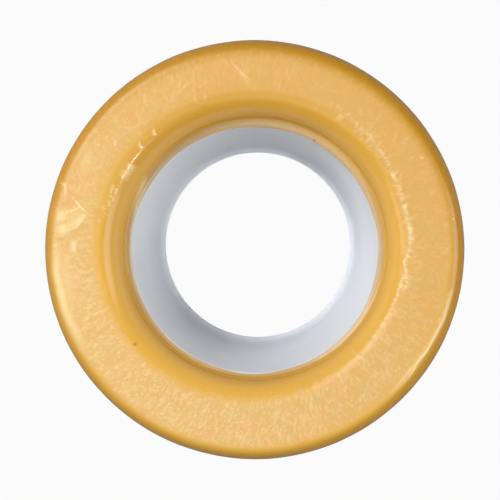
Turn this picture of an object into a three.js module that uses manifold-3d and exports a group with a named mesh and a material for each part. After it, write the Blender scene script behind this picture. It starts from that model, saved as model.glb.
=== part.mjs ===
// Toilet pan seal: a moulded wax ring with a flanged plastic horn cast into it.
// Millimetres, +Z up. The origin is the middle of the horn's lower end, on the ring's axis.

import * as THREE from "three";
import { mergeVertices } from "three/addons/utils/BufferGeometryUtils.js";
import Module from "manifold-3d";

// Horn sleeve: a tapered horn with a flat brim round its top
const HORN_BORE_RADIUS = 32.7; // inside the lip at the lower end
const HORN_DROP = 25; // how far the horn hangs below the wax
const HORN_TAPER = 10.75; // degrees that the wall leans out on its way up
const SLEEVE_WALL = 1.6;
const END_LIP_WIDTH = 0.9; // a narrow lip turned in round the lower end
const END_LIP_HEIGHT = 1.4;
const END_LIP_SLOPE = 1.3; // height of the lip's upper face
const END_ROUND = 0.45;
const CORNER_ROUND = 1; // upper corner, between the horn's inner face and the brim
const UNDER_FILLET = 0.9; // fillet in the corner under the brim
const BRIM_WIDTH = 13; // from the corner to the brim's edge

// Key holes in the brim, through which the wax runs when it is cast
const KEY_COUNT = 12;
const KEY_RADIUS = 2.8;

// Wax ring: its section from the mouth outwards
const WAX_HEIGHT = 30;
const BRIM_DEPTH = 13.5; // from the crown down to the brim's upper face
const MOUTH_FILLET = 0.9; // where the slope meets the thin edge over the brim
const SLOPE_WIDTH = 7.8; // inner rounding, from the mouth to the crown
const CROWN_WIDTH = 12.7; // the flat band that the pan's foot lands on
const SHOULDER_WIDTH = 5; // outer rounding, from the crown to the wall
const SHOULDER_DROP = 7;
const WALL_DRAFT = 0.6; // how much further out the wall is at its foot
const FOOT_ROUND = 2.5;
const FRINGE_LEDGE = 0.7; // level stretch of the thin edge, from the fillet to the corner
const FRINGE_TURN = 40; // degrees of the corner that the thin edge covers
const FRINGE_ROOT = 0.5; // thickness of that edge
const FRINGE_TIP = 0.2;

const SEAT = 0.3; // clearance between the wax and the plastic
const TURN_STEPS = 72;
const KEY_STEPS = 12;
const CORNER_STEPS = 5;
const SHOULDER_STEPS = 7;
const SLOPE_STEPS = 8;
const SMALL_STEPS = 3;
const WELD = 1e-4; // vertices closer than this are one

const WAX_FINISH = { color: 0xe0ac4e, roughness: 0.45 };
const PLASTIC_FINISH = { color: 0xe4e6ea, roughness: 0.35 };

const waxFloor = HORN_DROP;
const waxTop = waxFloor + WAX_HEIGHT;
const brimTop = waxTop - BRIM_DEPTH;
const brimFloor = brimTop - SLEEVE_WALL;

// Both corners are arcs that turn by this angle, from the brim down to the taper.
const taper = THREE.MathUtils.degToRad(HORN_TAPER);
const cornerTurn = Math.PI / 2 - taper;
const taperStart = HORN_BORE_RADIUS + END_LIP_WIDTH;
const upperCentre = besideTaper(brimTop - CORNER_ROUND, CORNER_ROUND);
const underCentre = besideTaper(brimFloor - UNDER_FILLET, SLEEVE_WALL + UNDER_FILLET);

const brimStart = upperCentre.x;
const brimRadius = brimStart + BRIM_WIDTH;
const mouthRadius = brimStart + FRINGE_LEDGE + MOUTH_FILLET;
const crownInner = mouthRadius + SLOPE_WIDTH;
const crownOuter = crownInner + CROWN_WIDTH;
const wallRadius = crownOuter + SHOULDER_WIDTH;
const footRadius = wallRadius + WALL_DRAFT;

const wasm = await Module();
wasm.setup();

// A point beside the horn's inner face at a height. Positive distances go into the plastic.
function besideTaper(height, distance) {
  return new THREE.Vector2(
    taperStart + height * Math.tan(taper) + distance / Math.cos(taper),
    height,
  );
}

// A point on a corner's arc, at an angle from its top towards the axis.
function onArc(centre, radius, angle) {
  return new THREE.Vector2(
    centre.x - radius * Math.sin(angle),
    centre.y + radius * Math.cos(angle),
  );
}

// Points along a corner's arc, from the brim to the taper unless other angles are given.
function corner(centre, radius, start = 0, end = cornerTurn) {
  const points = [];
  for (let i = 0; i <= CORNER_STEPS; i++)
    points.push(onArc(centre, radius, start + ((end - start) * i) / CORNER_STEPS));
  return points;
}

// A quarter of an ellipse that leaves its start along the radius or along the axis.
function quarter(start, end, leavesAlongRadius, steps) {
  const points = [];
  for (let i = 0; i <= steps; i++) {
    const a = (i / steps) * (Math.PI / 2);
    const [early, late] = [Math.sin(a), 1 - Math.cos(a)];
    const [r, z] = leavesAlongRadius ? [early, late] : [late, early];
    points.push(
      new THREE.Vector2(
        start.x + (end.x - start.x) * r,
        start.y + (end.y - start.y) * z,
      ),
    );
  }
  return points;
}

// The sleeve's closed section, counter-clockwise from the horn's lower end.
function sleeveSection() {
  const outerFoot = besideTaper(END_ROUND, SLEEVE_WALL);
  return [
    new THREE.Vector2(HORN_BORE_RADIUS + END_ROUND, 0),
    new THREE.Vector2(outerFoot.x - END_ROUND, 0),
    outerFoot,
    ...corner(underCentre, UNDER_FILLET).reverse(),
    new THREE.Vector2(brimRadius, brimFloor),
    new THREE.Vector2(brimRadius, brimTop),
    ...corner(upperCentre, CORNER_ROUND),
    besideTaper(END_LIP_HEIGHT + END_LIP_SLOPE, 0),
    new THREE.Vector2(HORN_BORE_RADIUS, END_LIP_HEIGHT),
    new THREE.Vector2(HORN_BORE_RADIUS, END_ROUND),
  ];
}

// The wax's thin edge over the corner: its free face, from the ledge to its tip.
function fringeFace(fringeEnd) {
  const points = [];
  for (let i = 0; i <= SMALL_STEPS; i++) {
    const along = i / SMALL_STEPS;
    const thickness = THREE.MathUtils.lerp(FRINGE_ROOT, FRINGE_TIP, along);
    points.push(onArc(upperCentre, CORNER_ROUND + SEAT + thickness, fringeEnd * along));
  }
  return points;
}

// The wax's closed section, counter-clockwise from its foot. The sleeve's slot is part of it.
function waxSection() {
  const fringeEnd = THREE.MathUtils.degToRad(FRINGE_TURN);
  const ledgeHeight = brimTop + SEAT + FRINGE_ROOT;
  const ledgeStart = new THREE.Vector2(mouthRadius - MOUTH_FILLET, ledgeHeight);
  const mouthFoot = new THREE.Vector2(mouthRadius, ledgeHeight + MOUTH_FILLET);
  return [
    ...quarter(
      new THREE.Vector2(footRadius - FOOT_ROUND, waxFloor),
      new THREE.Vector2(footRadius, waxFloor + FOOT_ROUND),
      true,
      SMALL_STEPS,
    ),
    ...quarter(
      new THREE.Vector2(wallRadius, waxTop - SHOULDER_DROP),
      new THREE.Vector2(crownOuter, waxTop),
      false,
      SHOULDER_STEPS,
    ),
    ...quarter(new THREE.Vector2(crownInner, waxTop), mouthFoot, true, SLOPE_STEPS),
    ...quarter(mouthFoot, ledgeStart, false, SMALL_STEPS).slice(1),
    ...fringeFace(fringeEnd),
    ...corner(upperCentre, CORNER_ROUND + SEAT, fringeEnd, 0),
    new THREE.Vector2(brimRadius + SEAT, brimTop + SEAT),
    new THREE.Vector2(brimRadius + SEAT, brimFloor - SEAT),
    ...corner(underCentre, UNDER_FILLET - SEAT),
    besideTaper(waxFloor, SLEEVE_WALL + SEAT),
  ];
}

// A closed section turned about the local Y axis.
function turned(section) {
  return new THREE.LatheGeometry([...section, section[0]], TURN_STEPS);
}

// A geometry as a manifold solid, with only positions and with shared vertices merged.
function solidOf(geometry) {
  const bare = geometry.clone();
  for (const name of ["normal", "uv"]) bare.deleteAttribute(name);
  const merged = mergeVertices(bare, WELD);
  return new wasm.Manifold(
    new wasm.Mesh({
      numProp: 3,
      vertProperties: merged.attributes.position.array,
      triVerts: new Uint32Array(merged.index.array),
    }),
  );
}

// A manifold solid as a flat-shaded mesh with one finish.
function meshOf(solid, finish) {
  const { vertProperties, triVerts } = solid.getMesh();
  const shared = new THREE.BufferGeometry()
    .setAttribute("position", new THREE.BufferAttribute(vertProperties, 3))
    .setIndex(new THREE.BufferAttribute(triVerts, 1));
  const geometry = shared.toNonIndexed();
  geometry.computeVertexNormals();
  return new THREE.Mesh(
    geometry,
    new THREE.MeshStandardMaterial({ ...finish, metalness: 0 }),
  );
}

// One upright peg for each key hole, with its ends past both faces of the brim.
function keyPegs(radius) {
  const length = 3 * SLEEVE_WALL;
  const pitchRadius = brimStart + BRIM_WIDTH / 2;
  const pegs = [];
  for (let i = 0; i < KEY_COUNT; i++) {
    const a = (i / KEY_COUNT) * 2 * Math.PI;
    const peg = new THREE.CylinderGeometry(radius, radius, length, KEY_STEPS);
    peg.translate(
      pitchRadius * Math.cos(a),
      (brimTop + brimFloor) / 2,
      pitchRadius * Math.sin(a),
    );
    pegs.push(solidOf(peg));
  }
  return pegs;
}

// The plastic sleeve, with the key holes cut through its brim.
function hornSleeve() {
  let solid = solidOf(turned(sleeveSection()));
  for (const hole of keyPegs(KEY_RADIUS)) solid = solid.subtract(hole);
  return meshOf(solid, PLASTIC_FINISH);
}

// The wax, cast round the brim and through its key holes.
function waxRing() {
  let solid = solidOf(turned(waxSection()));
  for (const plug of keyPegs(KEY_RADIUS - SEAT)) solid = solid.add(plug);
  return meshOf(solid, WAX_FINISH);
}

const seal = new THREE.Group();
seal.rotation.x = Math.PI / 2; // the turned pieces' axis becomes +Z

const ring = waxRing();
ring.name = "wax_ring";
seal.add(ring);

const sleeve = hornSleeve();
sleeve.name = "horn_sleeve";
seal.add(sleeve);

export default seal;
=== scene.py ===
"""Looks of a toilet pan seal: a moulded wax ring cast round the brim of a white plastic horn.

Lengths are in metres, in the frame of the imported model. +Z points up along the ring's axis, and
the origin is the middle of the horn's lower end. Azimuths go from +X towards +Y.
"""

from __future__ import annotations

import logging
import math
from dataclasses import dataclass
from enum import Enum

import bpy
import numpy as np
from mathutils import Matrix, Vector

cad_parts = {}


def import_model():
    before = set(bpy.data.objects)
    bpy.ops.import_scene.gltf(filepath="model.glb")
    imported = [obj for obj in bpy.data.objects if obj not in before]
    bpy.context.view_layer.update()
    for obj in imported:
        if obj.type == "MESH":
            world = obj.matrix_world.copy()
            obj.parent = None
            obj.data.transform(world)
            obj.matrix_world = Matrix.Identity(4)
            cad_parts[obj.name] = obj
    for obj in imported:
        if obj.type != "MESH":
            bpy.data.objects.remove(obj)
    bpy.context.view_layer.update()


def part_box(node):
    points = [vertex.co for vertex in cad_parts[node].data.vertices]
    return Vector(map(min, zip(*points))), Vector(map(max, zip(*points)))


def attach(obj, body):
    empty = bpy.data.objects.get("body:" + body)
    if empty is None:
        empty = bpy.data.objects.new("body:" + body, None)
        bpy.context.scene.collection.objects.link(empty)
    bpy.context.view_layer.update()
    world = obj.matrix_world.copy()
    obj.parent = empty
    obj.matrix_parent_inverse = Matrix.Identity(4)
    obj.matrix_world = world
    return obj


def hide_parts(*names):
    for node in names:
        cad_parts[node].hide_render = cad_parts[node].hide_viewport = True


LOG = logging.getLogger("pan_seal")
BODY = "root"
MM = 0.001

Point = tuple[float, float]
Colour = tuple[float, float, float, float]
Tree = bpy.types.NodeTree
Node = bpy.types.Node
Socket = bpy.types.NodeSocket

MATH = "ShaderNodeMath"
VECTOR_MATH = "ShaderNodeVectorMath"
NOISE = "ShaderNodeTexNoise"
MAP_RANGE = "ShaderNodeMapRange"
MIX = "ShaderNodeMix"
COMBINE = "ShaderNodeCombineXYZ"
SEPARATE = "ShaderNodeSeparateXYZ"
SET_POSITION = "GeometryNodeSetPosition"
REALIZE = "GeometryNodeRealizeInstances"

# Places of a colour mix's sockets: its factor, its two colours and its result
MIX_FACTOR, MIX_FIRST, MIX_SECOND, MIX_RESULT = 0, 6, 7, 2

# The sRGB formula: the end of its straight part, that part's slope, its offset and its power
SRGB_LIMIT, SRGB_SLOPE, SRGB_OFFSET, SRGB_POWER = 0.04045, 12.92, 0.055, 2.4

NOISE_MIDDLE = 0.5
FACES_UP = 0.1  # least upward share of the normal where the wax takes a print


class KeyUse(Enum):
    """What the row of pegs does to a turned piece."""

    HOLES = "DIFFERENCE"
    PLUGS = "UNION"


class Zone(Enum):
    """Vertex attributes that tell the wax's material where it is."""

    FROST = "frost"
    # Paleness: the film's pale print marks, partly painted highlight and painted sheen
    BLOOM = "pale_and_highlight"
    FILM = "film"
    # Deeper tone: partly the wall's deeper amber, partly painted shade
    DEEP_AMBER_AND_SHADE = "deep_amber_and_shade"
    SPECK = "speck"


def linear(hex_colour: str) -> Colour:
    """Turns an sRGB colour into linear red, green, blue and alpha, by the standard's formula.

    Args:
        hex_colour: The colour as six hexadecimal digits after a #.

    Returns:
        Four numbers from 0 to 1.
    """
    levels = []
    for share in (byte / 255 for byte in bytes.fromhex(hex_colour[1:])):
        curved = ((share + SRGB_OFFSET) / (1 + SRGB_OFFSET)) ** SRGB_POWER
        levels.append(share / SRGB_SLOPE if share <= SRGB_LIMIT else curved)
    red, green, blue = levels
    return red, green, blue, 1.0


def add_node(
    tree: Tree, kind: str, inputs: dict[str | int, object] | None = None, **settings: object
) -> Node:
    """Adds a node with its settings and links.

    Args:
        tree: The tree that gets the node.
        kind: The node's type name.
        inputs: For each input, by name or place, a value, the socket that feeds it, or the node
            whose first output feeds it.
        settings: Properties of the node itself.

    Returns:
        The new node.
    """
    node = tree.nodes.new(kind)
    for name, value in settings.items():
        setattr(node, name, value)
    for key, value in (inputs or {}).items():
        feed = value.outputs[0] if isinstance(value, Node) else value
        if isinstance(feed, Socket):
            tree.links.new(feed, node.inputs[key])
        else:
            node.inputs[key].default_value = feed
    return node


def empty_tree(owner: bpy.types.Material | bpy.types.World) -> Tree:
    """Gives a material or a world a node tree with nothing in it.

    Args:
        owner: The material or the world.

    Returns:
        Its tree.
    """
    owner.use_nodes = True
    owner.node_tree.nodes.clear()
    return owner.node_tree


def thin_lines(tree: Tree, noise: Node, width: float) -> Node:
    """Draws lines where a noise crosses its middle.

    Args:
        tree: The tree that gets the nodes.
        noise: The noise.
        width: How far from its middle the noise is at a line's edge.

    Returns:
        The node that gives 1 on a line and 0 away from it.
    """
    level = add_node(tree, MATH, {0: noise, 1: NOISE_MIDDLE}, operation="SUBTRACT")
    away = add_node(tree, MATH, {0: level}, operation="ABSOLUTE")
    ends = {0: away, 1: width, 2: 0.0}
    return add_node(tree, MAP_RANGE, ends, interpolation_type="SMOOTHSTEP")


def direction(azimuth: float) -> Vector:
    """The level direction at an azimuth."""
    return Vector((math.cos(azimuth), math.sin(azimuth), 0))


@dataclass(frozen=True)
class RingPlace:
    """Where a point of the ring is, in the nodes of one tree."""

    tree: Tree
    outward: Node
    radius: Socket

    @classmethod
    def of(cls, tree: Tree, position: Node | Socket) -> RingPlace:
        """Adds the nodes that turn a position into a level direction and a radius.

        Args:
            tree: The tree that gets the nodes.
            position: What gives the position.

        Returns:
            The point's place.
        """
        parts = add_node(tree, SEPARATE, {0: position})
        level = add_node(tree, COMBINE, {0: parts.outputs[0], 1: parts.outputs[1]})
        outward = add_node(tree, VECTOR_MATH, {0: level}, operation="NORMALIZE")
        length = add_node(tree, VECTOR_MATH, {0: level}, operation="LENGTH")
        return cls(tree, outward, length.outputs["Value"])

    def toward(self, aim: Socket) -> Socket:
        """How far the point lies on one side of the ring.

        Args:
            aim: The level direction of that side.

        Returns:
            The socket that gives a number from -1 to 1.
        """
        ends = {0: self.outward, 1: aim}
        side = add_node(self.tree, VECTOR_MATH, ends, operation="DOT_PRODUCT")
        return side.outputs["Value"]

    def drawn_out(self, turns: Node | float, length: Socket | float) -> Node:
        """A place for noise that is drawn out along the radius, as the film's crinkles are.

        Args:
            turns: The print's radius over the size of the noise around the ring.
            length: Size of the noise along the radius.

        Returns:
            The node that gives the place.
        """
        ends = {0: self.outward, "Scale": turns}
        around = add_node(self.tree, VECTOR_MATH, ends, operation="SCALE")
        along = add_node(self.tree, MATH, {0: self.radius, 1: length}, operation="DIVIDE")
        rise = add_node(self.tree, COMBINE, {2: along})
        return add_node(self.tree, VECTOR_MATH, {0: around, 1: rise})


def arc(centre: Point, radius: float, start: float, end: float, steps: int) -> list[Point]:
    """Points of an arc, at angles from its top towards the axis.

    Args:
        centre: The arc's centre, as radius and height.
        radius: The arc's radius.
        start: The first angle, in radians.
        end: The last angle, in radians.
        steps: How many pieces the arc has.

    Returns:
        steps + 1 points.
    """
    angles = np.linspace(start, end, steps + 1)
    return [(centre[0] - radius * math.sin(a), centre[1] + radius * math.cos(a)) for a in angles]


def quarter(start: Point, end: Point, leaves_along_radius: bool, steps: int) -> list[Point]:
    """Points of a quarter of an ellipse.

    Args:
        start: The first point, as radius and height.
        end: The last point.
        leaves_along_radius: Whether the curve leaves its start level, and not upright.
        steps: How many pieces the curve has.

    Returns:
        steps + 1 points.
    """
    points = []
    for angle in np.linspace(0, math.pi / 2, steps + 1):
        early, late = math.sin(angle), 1 - math.cos(angle)
        r, z = (early, late) if leaves_along_radius else (late, early)
        points.append((start[0] + (end[0] - start[0]) * r, start[1] + (end[1] - start[1]) * z))
    return points


def between(start: Point, end: Point, steps: int) -> list[Point]:
    """Points inside a straight stretch, without its two ends.

    Args:
        start: The stretch's first end, as radius and height.
        end: Its other end.
        steps: How many pieces the stretch has.

    Returns:
        steps - 1 points.
    """
    width, rise = end[0] - start[0], end[1] - start[1]
    shares = [i / steps for i in range(1, steps)]
    return [(start[0] + width * share, start[1] + rise * share) for share in shares]


def smooth_step(values: np.ndarray, low: float, high: float) -> np.ndarray:
    """Rises smoothly from 0 at low to 1 at high, which may be the smaller of the two."""
    share = np.clip((values - low) / (high - low), 0, 1)
    return share * share * (3 - 2 * share)


def polar(places: np.ndarray) -> tuple[np.ndarray, np.ndarray]:
    """The radius and the azimuth of each place."""
    return np.hypot(places[:, 0], places[:, 1]), np.arctan2(places[:, 1], places[:, 0])


def facing(azimuths: np.ndarray, middle: float) -> np.ndarray:
    """1 at the middle azimuth, falling to 0 a quarter turn from it on both sides."""
    return np.clip(np.cos(azimuths - middle), 0, 1)


def one_sided(azimuths: np.ndarray, middle: float) -> np.ndarray:
    """1 at the middle azimuth, falling to 0 half a turn from it."""
    return 0.5 + 0.5 * np.cos(azimuths - middle)


@dataclass(frozen=True)
class SealSizes:
    """Sizes of the seal, in metres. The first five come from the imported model."""

    wax_floor: float
    wax_top: float
    foot_radius: float
    brim_top: float
    brim_radius: float
    sleeve_wall: float = 1.6 * MM
    bore_radius: float = 32.7 * MM
    end_lip_width: float = 0.9 * MM
    end_lip_height: float = 1.4 * MM
    end_lip_slope: float = 1.3 * MM
    end_round: float = 0.45 * MM
    taper: float = math.radians(10.75)
    corner_round: float = 1.0 * MM
    under_fillet: float = 0.9 * MM
    mouth_fillet: float = 0.9 * MM
    slope_width: float = 7.8 * MM
    shoulder_width: float = 5.0 * MM
    shoulder_drop: float = 7.0 * MM
    wall_draft: float = 0.6 * MM
    foot_round: float = 2.5 * MM
    fringe_ledge: float = 0.7 * MM
    fringe_turn: float = math.radians(40)
    fringe_root: float = 0.5 * MM
    fringe_tip: float = 0.2 * MM
    seat: float = 0.3 * MM
    key_count: int = 12
    key_radius: float = 2.8 * MM

    @classmethod
    def from_frame(cls) -> SealSizes:
        """Takes the overall sizes from the boxes of the two CAD nodes.

        Returns:
            The seal's sizes.
        """
        wax_low, wax_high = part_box("wax_ring")
        sleeve_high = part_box("horn_sleeve")[1]
        return cls(wax_low.z, wax_high.z, wax_high.x, sleeve_high.z, sleeve_high.x)

    @property
    def brim_floor(self) -> float:
        """Height of the brim's lower face."""
        return self.brim_top - self.sleeve_wall

    @property
    def upper_centre(self) -> Point:
        """Centre of the round corner between the brim and the horn's inner face."""
        return self.beside_taper(self.brim_top - self.corner_round, self.corner_round)

    @property
    def under_centre(self) -> Point:
        """Centre of the fillet under the brim."""
        height = self.brim_floor - self.under_fillet
        return self.beside_taper(height, self.sleeve_wall + self.under_fillet)

    @property
    def corner_turn(self) -> float:
        """Angle of both corners, from the brim down to the taper."""
        return math.pi / 2 - self.taper

    @property
    def mouth_radius(self) -> float:
        """Radius at which the wax's mouth meets its fillet."""
        return self.upper_centre[0] + self.fringe_ledge + self.mouth_fillet

    @property
    def ledge_radius(self) -> float:
        """Radius at which the fillet ends and the level ledge begins."""
        return self.mouth_radius - self.mouth_fillet

    @property
    def ledge_height(self) -> float:
        """Height of the ledge's upper face."""
        return self.brim_top + self.seat + self.fringe_root

    @property
    def crown_inner(self) -> float:
        """Inner radius of the crown's flat band."""
        return self.mouth_radius + self.slope_width

    @property
    def wall_radius(self) -> float:
        """Radius of the wax's wall under the shoulder."""
        return self.foot_radius - self.wall_draft

    @property
    def crown_outer(self) -> float:
        """Outer radius of the crown's flat band."""
        return self.wall_radius - self.shoulder_width

    def beside_taper(self, height: float, distance: float) -> Point:
        """A point beside the horn's inner face.

        Args:
            height: The point's height.
            distance: How far it is from the face. Positive distances go into the plastic.

        Returns:
            The point's radius and height.
        """
        radius = self.bore_radius + self.end_lip_width + height * math.tan(self.taper)
        return radius + distance / math.cos(self.taper), height


@dataclass(frozen=True)
class KeyRow:
    """The pegs that stand for the key holes of the brim, or for the wax in them."""

    use: KeyUse
    count: int
    radius: float
    pitch_radius: float
    height: float
    length: float

    @classmethod
    def of(cls, sizes: SealSizes, use: KeyUse) -> KeyRow:
        """The row of holes through the brim, or of the plugs that fill them with a clearance.

        Args:
            sizes: The seal's sizes.
            use: Whether the pegs are holes or plugs.

        Returns:
            The row, whose pegs end one wall above and one wall below the brim.
        """
        radius = sizes.key_radius - (sizes.seat if use is KeyUse.PLUGS else 0)
        pitch_radius = (sizes.upper_centre[0] + sizes.brim_radius) / 2
        height = sizes.brim_top - sizes.sleeve_wall / 2
        return cls(use, sizes.key_count, radius, pitch_radius, height, 3 * sizes.sleeve_wall)


class TreeInputs:
    """The named inputs of a Geometry Nodes tree and the values that a modifier gives them."""

    KINDS = {float: "NodeSocketFloat", int: "NodeSocketInt", Vector: "NodeSocketVector"}

    def __init__(self, tree: Tree) -> None:
        """Starts with the section that is turned.

        Args:
            tree: The tree that gets the inputs.
        """
        self.tree = tree
        self.values: dict[str, object] = {}
        tree.interface.new_socket("Section", in_out="INPUT", socket_type="NodeSocketGeometry")
        self.node = tree.nodes.new("NodeGroupInput")

    def add(self, name: str, value: float | int | Vector | bpy.types.Material) -> Socket:
        """Adds one input.

        Args:
            name: The input's name.
            value: What the modifier sets it to.

        Returns:
            The socket that gives the value inside the tree.
        """
        kind = self.KINDS.get(type(value), "NodeSocketMaterial")
        socket = self.tree.interface.new_socket(name, in_out="INPUT", socket_type=kind)
        self.values[socket.identifier] = value
        return self.node.outputs[name]

    def set_on(self, modifier: bpy.types.NodesModifier) -> None:
        """Sets each input of the modifier by its socket's identifier."""
        for identifier, value in self.values.items():
            modifier[identifier] = value


@dataclass(frozen=True)
class CrownPrint:
    """The frosted, crinkled print that a wrapping film leaves in the soft crown."""

    inner_radius: float
    outer_radius: float
    inner_swing: float = 2.3 * MM
    outer_swing: float = 1.2 * MM
    swing_azimuth: float = math.radians(125)
    edge_softness: float = 2.2 * MM
    edge_rag: float = 4.0 * MM
    outer_rag_share: float = 0.3
    rag_size: float = 3.0 * MM
    rag_detail: float = 4.0
    rag_roughness: float = 0.65
    level_enough: float = 0.4
    crinkle_height: float = 0.16 * MM
    crinkle_spacing: float = 3.0 * MM
    crinkle_length: float = 7.0 * MM
    crinkle_width: float = 0.035
    crinkle_detail: float = 3.0
    crinkle_roughness: float = 0.55
    crinkle_curl: float = 1.4
    crinkle_bias: float = 0.85
    bias_azimuth: float = math.radians(240)
    swell_height: float = 0.25 * MM
    swell_size: float = 16 * MM
    seed: float = 7.0

    def add_to(self, tree: Tree, inputs: TreeInputs, geometry: Node) -> Node:
        """Adds the nodes that press the print into the turned wax.

        Args:
            tree: The wax's tree.
            inputs: The tree's named inputs.
            geometry: The turned wax.

        Returns:
            The wax with its frost attribute, its crinkles, and its attribute of paleness, which
            paints the crinkle ridges pale, partly as painted highlight.
        """
        seed = inputs.add("Seed", self.seed)
        position = add_node(tree, "GeometryNodeInputPosition")
        place = RingPlace.of(tree, position)
        frost = self._frost(place, inputs, seed)
        ridge = self._ridge(place, inputs, seed)
        pale_and_highlight = add_node(tree, MATH, {0: frost, 1: ridge}, operation="MULTIPLY")
        for zone, value in ((Zone.FROST, frost), (Zone.BLOOM, pale_and_highlight)):
            geometry = add_node(
                tree,
                "GeometryNodeStoreNamedAttribute",
                {"Geometry": geometry, "Name": zone.value, "Value": value},
                data_type="FLOAT",
                domain="POINT",
            )
        lift = self._lift(tree, inputs, position, pale_and_highlight, seed)
        normal = add_node(tree, "GeometryNodeInputNormal")
        offset = add_node(tree, VECTOR_MATH, {0: normal, "Scale": lift}, operation="SCALE")
        return add_node(tree, SET_POSITION, {"Geometry": geometry, "Offset": offset})

    def _frost(self, place: RingPlace, inputs: TreeInputs, seed: Socket) -> Node:
        """How frosted the wax is: 1 on the crown, fading out along two ragged edges.

        Args:
            place: Where a point is.
            inputs: The tree's named inputs.
            seed: The seed of the ragged edges.

        Returns:
            The node that gives the share of frost.
        """
        tree, soft = place.tree, self.edge_softness
        side = place.toward(inputs.add("Print Swing Direction", direction(self.swing_azimuth)))
        swing = inputs.add("Print Inner Swing", self.inner_swing)
        turns = self.inner_radius / self.rag_size
        around = add_node(tree, VECTOR_MATH, {0: place.outward, "Scale": turns}, operation="SCALE")
        noise = add_node(
            tree,
            NOISE,
            {
                "Vector": around,
                "W": seed,
                "Scale": 1.0,
                "Detail": self.rag_detail,
                "Roughness": self.rag_roughness,
            },
            noise_dimensions="4D",
        )
        rag_height = inputs.add("Print Edge Rag", self.edge_rag)
        ends = {0: noise, 1: rag_height, 2: -self.edge_rag / 2}
        rag = add_node(tree, MATH, ends, operation="MULTIPLY_ADD")
        shift = add_node(tree, MATH, {0: side, 1: swing, 2: rag}, operation="MULTIPLY_ADD")
        into = add_node(tree, MATH, {0: place.radius, 1: shift}, operation="SUBTRACT")
        ends = {0: into, 1: self.inner_radius - soft, 2: self.inner_radius + soft}
        inner = add_node(tree, MAP_RANGE, ends, interpolation_type="SMOOTHSTEP")
        outer_swing = inputs.add("Print Outer Swing", -self.outer_swing)
        ends = {0: side, 1: outer_swing, 2: place.radius}
        reach = add_node(tree, MATH, ends, operation="MULTIPLY_ADD")
        ends = {0: rag, 1: self.outer_rag_share, 2: reach}
        out_of = add_node(tree, MATH, ends, operation="MULTIPLY_ADD")
        ends = {0: out_of, 1: self.outer_radius + soft, 2: self.outer_radius - soft}
        outer = add_node(tree, MAP_RANGE, ends, interpolation_type="SMOOTHSTEP")
        normal = add_node(tree, SEPARATE, {0: add_node(tree, "GeometryNodeInputNormal")})
        ends = {0: normal.outputs[2], 1: FACES_UP, 2: self.level_enough}
        upward = add_node(tree, MAP_RANGE, ends)
        both = add_node(tree, MATH, {0: inner, 1: outer}, operation="MULTIPLY")
        return add_node(tree, MATH, {0: both, 1: upward}, operation="MULTIPLY")

    def _ridge(self, place: RingPlace, inputs: TreeInputs, seed: Socket) -> Node:
        """Thin wavy lines that run mostly outwards, stronger on the biased side.

        Args:
            place: Where a point is.
            inputs: The tree's named inputs.
            seed: The seed of the lines.

        Returns:
            The node that gives 1 on a line.
        """
        tree = place.tree
        spacing = inputs.add("Crinkle Spacing", self.crinkle_spacing)
        length = inputs.add("Crinkle Length", self.crinkle_length)
        turns = add_node(tree, MATH, {0: self.outer_radius, 1: spacing}, operation="DIVIDE")
        noise = add_node(
            tree,
            NOISE,
            {
                "Vector": place.drawn_out(turns, length),
                "W": seed,
                "Scale": 1.0,
                "Detail": self.crinkle_detail,
                "Roughness": self.crinkle_roughness,
                "Distortion": self.crinkle_curl,
            },
            noise_dimensions="4D",
        )
        line = thin_lines(tree, noise, self.crinkle_width)
        side = place.toward(inputs.add("Crinkle Bias Direction", direction(self.bias_azimuth)))
        ends = {0: side, 1: -1.0, 2: 1.0, 3: 1 - self.crinkle_bias, 4: 1.0}
        strength = add_node(tree, MAP_RANGE, ends)
        return add_node(tree, MATH, {0: line, 1: strength}, operation="MULTIPLY")

    def _lift(
        self, tree: Tree, inputs: TreeInputs, position: Node, pale_and_highlight: Node, seed: Socket
    ) -> Node:
        """How far the surface stands out: crinkles on the print, and slow swells everywhere.

        Args:
            tree: The wax's tree.
            inputs: The tree's named inputs.
            position: Where a point is.
            pale_and_highlight: 1 on a crinkle, whose ridge is painted pale, partly as painted
                highlight.
            seed: The seed of the swells.

        Returns:
            The node that gives the height.
        """
        height = inputs.add("Crinkle Height", self.crinkle_height)
        swell = inputs.add("Swell Height", self.swell_height)
        ends = {"Vector": position, "W": seed, "Scale": 1 / self.swell_size, "Detail": 1.0}
        noise = add_node(tree, NOISE, ends, noise_dimensions="4D")
        level = add_node(tree, MATH, {0: noise, 1: NOISE_MIDDLE}, operation="SUBTRACT")
        slow = add_node(tree, MATH, {0: level, 1: swell}, operation="MULTIPLY")
        return add_node(tree, MATH, {0: pale_and_highlight, 1: height, 2: slow}, operation="MULTIPLY_ADD")


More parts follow.
